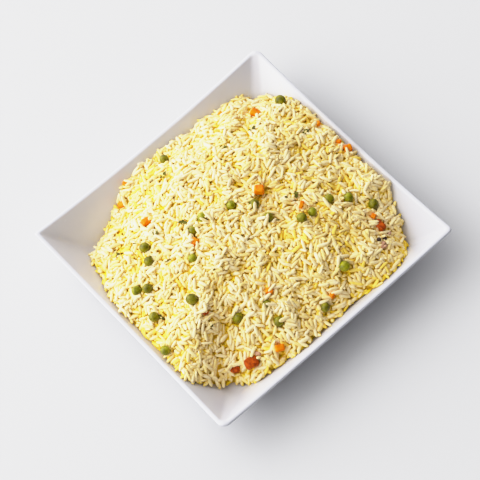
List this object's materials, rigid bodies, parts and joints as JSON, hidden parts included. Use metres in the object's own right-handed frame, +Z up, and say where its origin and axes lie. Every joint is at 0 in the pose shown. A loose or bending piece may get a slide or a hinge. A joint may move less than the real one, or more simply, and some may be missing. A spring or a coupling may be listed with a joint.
{
  "type": "rice pilaf",
  "caption": "Heap of yellow rice with green peas, carrot dice and peppercorns on a square white plate with raised sloping sides.",
  "frame": {"origin": "middle of the plate's foot, on the surface that the plate stands on", "axes": "+Z up, plate sides along X and Y"},
  "size_m": [0.2398, 0.2398, 0.0689],
  "materials": {
    "white_glaze": "smooth white glaze, semi-gloss",
    "yellow_rice": "cooked long-grain rice, moist, pale yellow",
    "pea_green": "cooked pea skin, soft gloss",
    "carrot_orange": "cooked carrot, moist cut faces",
    "pepper_black": "whole black peppercorn, wrinkled"
  },
  "bodies": {
    "root": {"carrot_01": "carrot_orange", "carrot_02": "carrot_orange", "carrot_03": "carrot_orange", "carrot_04": "carrot_orange", "carrot_05": "carrot_orange", "carrot_06": "carrot_orange", "carrot_07": "carrot_orange", "carrot_08": "carrot_orange", "carrot_09": "carrot_orange", "carrot_10": "carrot_orange", "carrot_11": "carrot_orange", "carrot_12": "carrot_orange", "carrot_13": "carrot_orange", "carrot_14": "carrot_orange", "carrot_15": "carrot_orange", "carrot_16": "carrot_orange", "carrot_17": "carrot_orange", "carrot_18": "carrot_orange", "carrot_19": "carrot_orange", "pea_01": "pea_green", "pea_02": "pea_green", "pea_03": "pea_green", "pea_04": "pea_green", "pea_05": "pea_green", "pea_06": "pea_green", "pea_07": "pea_green", "pea_08": "pea_green", "pea_09": "pea_green", "pea_10": "pea_green", "pea_11": "pea_green", "pea_12": "pea_green", "pea_13": "pea_green", "pea_14": "pea_green", "pea_15": "pea_green", "pea_16": "pea_green", "pea_17": "pea_green", "pea_18": "pea_green", "pea_19": "pea_green", "pea_20": "pea_green", "pea_21": "pea_green", "pea_22": "pea_green", "pea_23": "pea_green", "pea_24": "pea_green", "pea_25": "pea_green", "peppercorn_1": "pepper_black", "peppercorn_2": "pepper_black", "plate": "white_glaze", "rice": "yellow_rice"}
  },
  "joints": []
}
